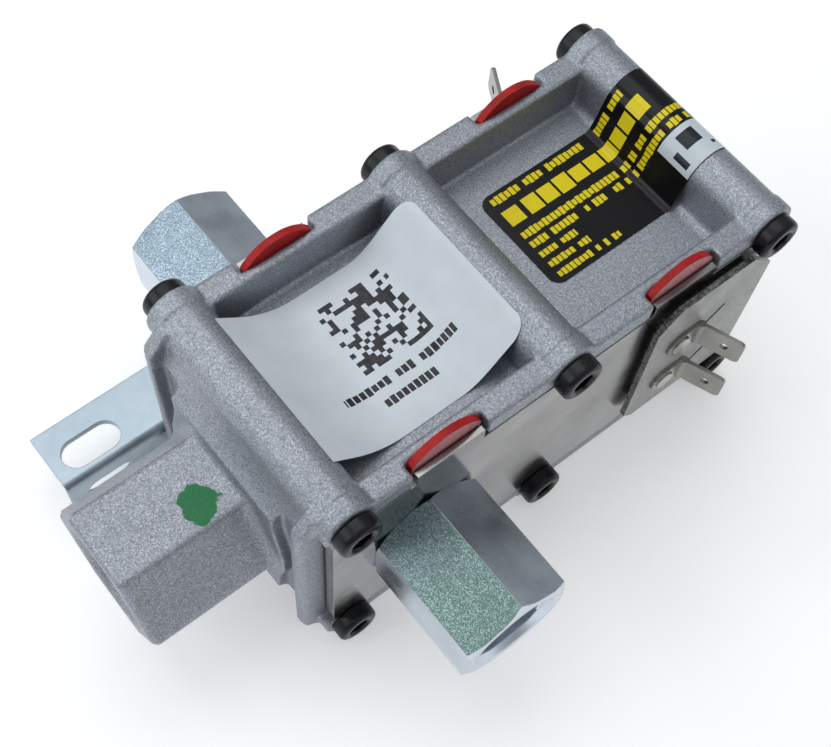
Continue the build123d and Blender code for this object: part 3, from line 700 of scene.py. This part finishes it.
def screw_row_tree() -> GeometryTree:
    """Sets one screw on every point, each turned its own way about the Y axis."""
    tree = GeometryTree("screw_row", (("Screw", "NodeSocketObject"), ("Seed", "NodeSocketInt"),
                                      ("Finish", "NodeSocketMaterial")))
    screw = tree.add("GeometryNodeObjectInfo", {"Object": tree.source.outputs["Screw"]})
    points = tree.add("GeometryNodeMeshToPoints", {"Mesh": tree.source.outputs["Geometry"]})
    turn = tree.add("FunctionNodeRandomValue", {"Seed": tree.source.outputs["Seed"]}, data_type="FLOAT_VECTOR")
    turn.inputs[0].default_value = (0.0, 0.0, 0.0)
    turn.inputs[1].default_value = (0.0, math.tau, 0.0)
    placed = tree.add("GeometryNodeInstanceOnPoints",
                      {"Points": points.outputs[0], "Instance": screw.outputs["Geometry"],
                       "Rotation": turn.outputs[0]})
    tree.close(placed.outputs[0])
    return tree


def thread_tree() -> GeometryTree:
    """A thread's ridge inside a bore: a helix swept with a four-sided section."""
    sizes = tuple((name, "NodeSocketFloat") for name in ("Turns", "Radius", "Length", "Depth"))
    places = (("Start", "NodeSocketVector"), ("Turn", "NodeSocketVector"), ("Finish", "NodeSocketMaterial"))
    tree = GeometryTree("thread_ridge", sizes + places)
    given = tree.source.outputs
    helix = tree.add("GeometryNodeCurveSpiral",
                     {"Resolution": THREAD_STEPS, "Rotations": given["Turns"], "Start Radius": given["Radius"],
                      "End Radius": given["Radius"], "Height": given["Length"]})
    upright = tree.add("GeometryNodeSetCurveNormal", {"Curve": helix.outputs[0]}, mode="Z_UP")
    section = tree.add("GeometryNodeCurvePrimitiveCircle", {"Resolution": 4, "Radius": given["Depth"]})
    ridge = tree.add("GeometryNodeCurveToMesh",
                     {"Curve": upright.outputs[0], "Profile Curve": section.outputs[0], "Fill Caps": True})
    placed = tree.add("GeometryNodeTransform",
                      {"Geometry": ridge.outputs[0], "Translation": given["Start"], "Rotation": given["Turn"]})
    tree.close(placed.outputs[0])
    return tree


# ------------------------------------------------------------------ sub-assemblies


@dataclass
class SubAssembly:
    """Something built from CAD nodes and new pieces, which ride on their bodies."""

    palette: Palette

    def keep(self, obj: Object, body: str, slot: str, *nodes: str) -> Object:
        """Dresses a piece, lets it ride and stands it in for CAD nodes."""
        obj.data.materials.clear()
        obj.data.materials.append(self.palette[slot])
        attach(obj, body)
        if nodes:
            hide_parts(*nodes)
        LOG.info("%s rides on %s with %d faces", obj.name, body, len(obj.data.polygons))
        return obj

    def refined(self, node: str, body: str = HOUSING, degrees: float = 32.0) -> Object:
        """Stands a joined, smooth-shaded copy in for a CAD node."""
        copy = smooth_by_angle(merged_copy(node, f"{node}_fine"), degrees)
        return self.keep(copy, body, self.palette.slot_of[node], node)


@dataclass
class Casting(SubAssembly):
    """The cast body with softened edges, collars round its rib ends and a thread in its inlet."""

    rib_xs: tuple[float, ...] = (34.2, 82.4, 130.6)
    rib_z: float = 23.8
    rib_radius: float = 5.2
    collar_step: float = 0.32
    collar: tuple[float, float] = (22.4, 25.9)
    collar_root: float = 1.0
    collar_steps: int = 24
    voxel_mm: float = 0.38
    relax_rounds: int = 3
    kept_share: float = 0.2
    thread: tuple[float, float, float] = (9.7, 15.7, 0.62)
    thread_start: float = 0.4
    thread_lead: float = 1.5
    pitch: float = 1.814

    def half_ring(self, bm: bmesh.types.BMesh, x: float, ys: tuple[float, float], up: int) -> None:
        """Adds a closed half sleeve round a rib end."""
        steps = self.collar_steps
        rows = []
        for radius in (self.rib_radius - self.collar_root, self.rib_radius + self.collar_step):
            for y in ys:
                arc = [math.radians(-12 + 204 * i / steps) for i in range(steps + 1)]
                rows.append([bm.verts.new((MM * (x + radius * math.cos(a)), MM * y,
                                           MM * up * (self.rib_z + radius * math.sin(a)))) for a in arc])
        inner_a, inner_b, outer_a, outer_b = rows
        for i in range(steps):
            for low, high in ((outer_a, outer_b), (inner_b, inner_a), (inner_a, outer_a), (outer_b, inner_b)):
                bm.faces.new((low[i], low[i + 1], high[i + 1], high[i]))
        for i in (0, steps):
            bm.faces.new((inner_a[i], inner_b[i], outer_b[i], outer_a[i]))

    def body(self) -> Object:
        """The softened casting."""
        obj = merged_copy("valve_body", "valve_casting")
        bm = bmesh.new()
        bm.from_mesh(obj.data)
        for x in self.rib_xs:
            for up in (1, -1):
                for side in Side:
                    start, end = sorted(side.value * y for y in self.collar)
                    fresh = bmesh.new()
                    self.half_ring(fresh, x, (start, end), up)
                    bmesh.ops.recalc_face_normals(fresh, faces=fresh.faces)
                    part = bpy.data.meshes.new("collar")
                    fresh.to_mesh(part)
                    fresh.free()
                    bm.from_mesh(part)
                    bpy.data.meshes.remove(part)
        bm.to_mesh(obj.data)
        bm.free()
        remesh = obj.modifiers.new("soft_edges", "REMESH")
        remesh.mode = "VOXEL"
        remesh.voxel_size = self.voxel_mm * MM
        remesh.use_smooth_shade = True
        relax = obj.modifiers.new("relax", "SMOOTH")
        relax.factor = 0.5
        relax.iterations = self.relax_rounds
        thin = obj.modifiers.new("thin", "DECIMATE")
        thin.ratio = self.kept_share
        settle(obj)
        for polygon in obj.data.polygons:
            polygon.use_smooth = True
        return self.keep(obj, HOUSING, "cast_aluminium", "valve_body")

    def build(self, threads: GeometryTree) -> None:
        """Builds the casting and its thread."""
        self.body()
        radius, length, depth = self.thread
        cut = length - self.thread_lead
        ridge = link("inlet_thread", bpy.data.meshes.new("inlet_thread"))
        threads.apply(ridge, {"Turns": cut / self.pitch, "Radius": radius * MM, "Length": cut * MM,
                              "Depth": depth * MM, "Start": (self.thread_start * MM, 0.0, 0.0),
                              "Turn": Axis.X.value, "Finish": self.palette["cast_aluminium"]})
        self.keep(ridge, HOUSING, "cast_aluminium")


@dataclass
class Cover(SubAssembly):
    """One side's cover plates, gasket, screws, outlet fitting, terminals and heated blade."""

    side: Side = Side.RIGHT
    seat: float = 26.05
    bracket_thickness: float = 1.5
    bracket_end: float = 88.9
    screw_xs: tuple[float, ...] = (34.2, 82.4, 130.6)
    screw_z: float = 23.8
    head_radius: float = 4.35
    head_height: float = 3.3
    socket_flats: float = 4.0
    outlet_x: float = 50.9
    screw_steps: int = 48
    thread: tuple[float, float, float] = (7.9, 13.8, 0.5)
    thread_start: float = 37.8
    thread_lead: float = 1.0
    pitch: float = 1.411

    def screw_mesh(self) -> Mesh:
        """One cap screw, its seat at the origin and its head along this side's outward Y."""
        r, h, flats = self.head_radius, self.head_height, self.socket_flats
        shank = [(-11.9, 1.7), (-11.4, 2.4), (0.0, 2.4)]
        rim = [(0.02, r - 0.25), (0.12, r - 0.08), (0.35, r), (h - 1.0, r), (h - 0.62, r - 0.07),
               (h - 0.3, r - 0.26), (h - 0.1, r - 0.55), (h, r - 0.95), (h, 2.75), (h - 0.12, 2.5)]
        socket = [(h - 0.45, flats), (h - 1.9, flats), (h - 1.95, flats * 0.6)]
        angles = [math.tau * i / self.screw_steps for i in range(self.screw_steps)]
        rings = [[(t, s) for _ in angles] for t, s in shank + rim]
        rings += [[(t, hexagon(s, a)) for a in angles] for t, s in socket]
        points = [[Vector((radius * math.cos(a), self.side.value * t, radius * math.sin(a))) * MM
                   for a, (t, radius) in zip(angles, ring)] for ring in rings]
        return lofted("cap_screw", points)

    def screws(self, rows: GeometryTree) -> None:
        """Sets the six screws of this side, three to a node."""
        pattern = link("cap_screw", self.screw_mesh())
        for polygon in pattern.data.polygons:
            polygon.use_smooth = True
        for level, up in (("top", 1), ("bottom", -1)):
            name = f"cover_screws_{self.side.word}_{level}"
            seats = bpy.data.meshes.new(f"{name}_fine")
            held = self.side is Side.LEFT and up < 0
            extra = [self.bracket_thickness if held and x < self.bracket_end else 0 for x in self.screw_xs]
            seats.from_pydata([Vector((x, self.side.value * (self.seat + more), up * self.screw_z)) * MM
                               for x, more in zip(self.screw_xs, extra)], [], [])
            obj = link(f"{name}_fine", seats)
            seed = 7 + 3 * up + self.side.value
            rows.apply(obj, {"Screw": pattern, "Seed": seed, "Finish": self.palette["black_screw"]})
            self.keep(smooth_by_angle(obj, 38), HOUSING, "black_screw", name)
        bpy.data.objects.remove(pattern)

    def outlet(self, threads: GeometryTree) -> None:
        """Refines the hexagon fitting and cuts its thread."""
        self.refined(f"outlet_fitting_{self.side.word}", degrees=24)
        radius, length, depth = self.thread
        name = f"outlet_thread_{self.side.word}"
        ridge = link(name, bpy.data.meshes.new(name))
        axis = Axis.Y if self.side is Side.LEFT else Axis.MINUS_Y
        cut = length - self.thread_lead
        start = (self.outlet_x * MM, self.side.value * self.thread_start * MM, 0.0)
        threads.apply(ridge, {"Turns": cut / self.pitch, "Radius": radius * MM, "Length": cut * MM,
                              "Depth": depth * MM, "Start": start, "Turn": axis.value,
                              "Finish": self.palette["zinc_fitting"]})
        self.keep(ridge, HOUSING, "zinc_fitting")

    def build(self, rows: GeometryTree, threads: GeometryTree) -> None:
        """Builds this side."""
        word = self.side.word
        self.screws(rows)
        self.outlet(threads)
        for node in ("gasket", "inner_plate", "outer_plate", "terminal_board", "terminal_rivets",
                     "terminal_bushings", "mica_sheet"):
            self.refined(f"{node}_{word}")
        for place in ("upper", "lower"):
            self.refined(f"terminal_{word}_{place}")
        for place in ("short", "long"):
            self.refined(f"heater_lead_{word}_{place}", degrees=60)
        self.refined(f"blade_anchor_{word}")
        for node in ("bimetal_blade", "valve_disc", "disc_rivet", "mica_wrap", "heater_winding",
                     "anchor_rivets"):
            self.refined(f"{node}_{word}", self.side.blade_body)


@dataclass
class Bracket(SubAssembly):
    """The slotted bracket under the left cover."""

    def build(self) -> None:
        """Builds the bracket."""
        self.refined("mounting_bracket")


@dataclass(frozen=True)
class Drape:
    """The line a label follows, lengthwise, in mm: up a rib, over the flat floor, up the next rib."""

    floor: tuple[float, float]
    last_rib: float
    first_rib: Optional[float] = None
    first_angle: float = 45.0
    last_angle: float = 118.0
    bends: tuple[tuple[float, int, float], ...] = ()
    floor_z: float = 17.6
    rib_z: float = 23.8
    radius: float = 5.3

    def slope(self, x: float, rib: float, turn: int) -> float:
        """How steeply the sheet rises from a floor point to its rib."""
        angle = self.touch(x, rib, turn)
        return abs((self.rib_z + self.radius * math.sin(angle) - self.floor_z)
                   / (rib + self.radius * math.cos(angle) - x))

    def lift(self, x: float) -> float:
        """How far a stiff sheet stands off the sharp fold, so that it bends gently there."""
        raised = 0.0
        for place, side, reach in self.bends:
            rib = self.first_rib if side < 0 else self.last_rib
            gap = reach - abs(x - place)
            if gap > 0:
                raised += self.slope(place, rib, 1 if side < 0 else -1) / (4 * reach) * gap * gap
        return raised

    def touch(self, x: float, rib: float, turn: int) -> float:
        """The angle on a rib where the line from a floor point touches it."""
        dx, dz = x - rib, self.floor_z - self.rib_z
        tangent = math.sqrt(dx * dx + dz * dz - self.radius ** 2)
        return math.atan2(dz, dx) + turn * (math.pi / 2 - math.atan2(self.radius, tangent))

    def arc(self, rib: float, start: float, end: float) -> list[Vector]:
        """Points on a rib between two angles."""
        angles = [start + (end - start) * i / ARC_STEPS for i in range(ARC_STEPS + 1)]
        return [Vector((rib + self.radius * math.cos(a), self.rib_z + self.radius * math.sin(a)))
                for a in angles]

    def points(self) -> list[Vector]:
        """The whole line."""
        line: list[Vector] = []
        if self.first_rib is not None:
            touch = self.touch(self.floor[0], self.first_rib, 1)
            line += self.arc(self.first_rib, math.radians(self.first_angle), touch)
        line += [Vector((x, self.floor_z)) for x in self.floor]
        touch = self.touch(self.floor[1], self.last_rib, -1) + math.tau
        return line + self.arc(self.last_rib, touch, math.radians(self.last_angle))

    def run(self, x: float, z: float, line: Sequence[Vector]) -> float:
        """How far along the line a point lies; the flat part keeps its own X."""
        best, found, walked = 1e9, 0.0, 0.0
        base = 0.0
        for a, b in zip(line, line[1:]):
            step = b - a
            length = step.length
            share = max(0.0, min(1.0, (Vector((x, z)) - a).dot(step) / max(length * length, 1e-12)))
            gap = (Vector((x, z)) - (a + step * share)).length
            if gap < best:
                best, found = gap, walked + share * length
            if abs(a.x - self.floor[0]) < SAME_MM and abs(b.x - self.floor[1]) < SAME_MM:
                base = self.floor[0] - walked
            walked += length
        return found + base


@dataclass
class Labels(SubAssembly):
    """The two draped labels, with their print laid out along the sheet."""

    plain: Drape = Drape((48.4, 69.2), 82.4, 34.2, 45.0, 118.0, ((48.4, -1, 6.0), (69.2, 1, 3.2)))
    rating: Drape = Drape((94.6, 123.0), 130.6, last_angle=52.0, bends=((123.0, 1, 1.0),))

    def label(self, node: str, drape: Drape) -> None:
        """Refines a label and lays a map of its length and width over it."""
        obj = merged_copy(node, f"{node}_fine")
        bm = bmesh.new()
        bm.from_mesh(obj.data)
        low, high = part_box(node)
        step = LABEL_STEP_MM * MM
        for i in range(1, int((high.x - low.x) / step)):
            bmesh.ops.bisect_plane(bm, geom=[*bm.verts, *bm.edges, *bm.faces],
                                   plane_co=(low.x + step * i, 0, 0), plane_no=(1, 0, 0), dist=1e-7)
        bm.to_mesh(obj.data)
        bm.free()
        line = drape.points()
        runs = [drape.run(v.co.x / MM, v.co.z / MM, line) for v in obj.data.vertices]
        for vertex in obj.data.vertices:
            vertex.co.z += drape.lift(vertex.co.x / MM) * MM
        smooth_by_angle(obj, 40)
        layer = obj.data.uv_layers.new(name="run")
        for loop in obj.data.loops:
            vertex = obj.data.vertices[loop.vertex_index]
            layer.data[loop.index].uv = (runs[loop.vertex_index] * MM, vertex.co.y)
        self.keep(obj, HOUSING, self.palette.slot_of[node], node)

    def build(self) -> None:
        """Builds both labels."""
        self.label("label_plain", self.plain)
        self.label("label_rating", self.rating)


# ------------------------------------------------------------------ studio


@dataclass(frozen=True)
class Lamp:
    """One soft rectangular lamp: where it is, what it looks at, its size in metres and its power."""

    name: str
    place: tuple[float, float, float]
    size: tuple[float, float]
    power: float
    tint: Colour = (1.0, 1.0, 1.0)
    aim: tuple[float, float, float] = (0.07, 0.0, 0.0)


@dataclass
class Studio:
    """A pale floor, soft lamps, an even sky and the camera."""

    floor_z: float = -0.0294
    floor_half: float = 3.0
    floor_glow: float = 0.3
    horizon: tuple[float, ...] = (0.30, 0.31, 0.33, 1)
    zenith: tuple[float, ...] = (0.94, 0.97, 1.0, 1)
    sky_strength: float = 0.6
    place: tuple[float, float, float] = (-0.014104, -0.086144, 0.223164)
    turn: tuple[float, float, float, float] = (0.92671185, 0.18720409, -0.08124687, -0.31552928)
    lens: float = 56.4866
    shift: tuple[float, float] = (0.036563, 0.121579)
    lamps: tuple[Lamp, ...] = (
        Lamp("overhead", (0.10, 0.22, 0.55), (0.5, 0.4), 0.95, (0.97, 0.985, 1.0)),
        Lamp("window", (-0.45, 0.30, 0.38), (0.5, 0.4), 1.3, (0.92, 0.965, 1.0)),
        Lamp("fill", (0.35, -0.50, 0.28), (0.6, 0.3), 0.1, (1.0, 0.99, 0.97)),
    )

    def floor(self) -> None:
        """A wide pale floor with a faint grain."""
        mesh = bpy.data.meshes.new("floor")
        half, level = self.floor_half, self.floor_z
        corners = [(-half, -half, level), (half, -half, level), (half, half, level), (-half, half, level)]
        mesh.from_pydata(corners, [], [(0, 1, 2, 3)])
        obj = link("floor", mesh)
        w = NodeWriter("floor_paper", specular_ior_level=0.0, emission_strength=self.floor_glow)
        w.shader.inputs["Emission Color"].default_value = (1.0, 1.0, 1.0, 1.0)
        paper = w.blend(w.remap(w.noise(30, 2), 0.3, 0.7), (0.93, 0.93, 0.93), (0.96, 0.96, 0.96))
        mesh.materials.append(w.finish(paper, 0.7))

    def light(self) -> None:
        """The lamps and the sky."""
        for lamp in self.lamps:
            data = bpy.data.lights.new(lamp.name, "AREA")
            data.shape = "RECTANGLE"
            data.size, data.size_y = lamp.size
            data.energy = lamp.power
            data.color = lamp.tint
            obj = bpy.data.objects.new(lamp.name, data)
            bpy.context.scene.collection.objects.link(obj)
            obj.location = lamp.place
            obj.rotation_euler = (Vector(lamp.aim) - Vector(lamp.place)).to_track_quat("-Z", "Y").to_euler()
        world = bpy.data.worlds.new("sky")
        bpy.context.scene.world = world
        world.use_nodes = True
        tree = world.node_tree
        tree.nodes.clear()
        output = tree.nodes.new("ShaderNodeOutputWorld")
        sky = tree.nodes.new("ShaderNodeBackground")
        where = tree.nodes.new("ShaderNodeTexCoord")
        split = tree.nodes.new("ShaderNodeSeparateXYZ")
        ramp = tree.nodes.new("ShaderNodeValToRGB")
        tree.links.new(where.outputs["Generated"], split.inputs[0])
        tree.links.new(split.outputs["Z"], ramp.inputs["Fac"])
        tree.links.new(ramp.outputs["Color"], sky.inputs["Color"])
        tree.links.new(sky.outputs[0], output.inputs["Surface"])
        ramp.color_ramp.elements[0].position = 0.0
        ramp.color_ramp.elements[0].color = self.horizon
        ramp.color_ramp.elements[1].position = 0.85
        ramp.color_ramp.elements[1].color = self.zenith
        sky.inputs["Strength"].default_value = self.sky_strength

    def camera(self) -> None:
        """The camera, above the inlet end and to the right."""
        data = bpy.data.cameras.new("camera")
        data.sensor_fit = "HORIZONTAL"
        data.sensor_width = 36.0
        data.lens = self.lens
        data.shift_x, data.shift_y = self.shift
        data.clip_start = 0.01
        obj = bpy.data.objects.new("camera", data)
        bpy.context.scene.collection.objects.link(obj)
        obj.matrix_world = Matrix.Translation(self.place) @ Quaternion(self.turn).to_matrix().to_4x4()
        bpy.context.scene.camera = obj
        bpy.context.scene.view_settings.view_transform = "Standard"

    def build(self) -> None:
        """Builds the studio."""
        self.floor()
        self.light()
        self.camera()


def main() -> None:
    """Builds every sub-assembly in order, then the studio."""
    logging.basicConfig(level=logging.INFO, format="%(message)s")
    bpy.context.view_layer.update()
    palette = Palette()
    threads = thread_tree()
    rows = screw_row_tree()
    Casting(palette).build(threads)
    for side in Side:
        Cover(palette, side=side).build(rows, threads)
    Bracket(palette).build()
    Labels(palette).build()
    Studio().build()


if __name__ == "__main__":
    main()
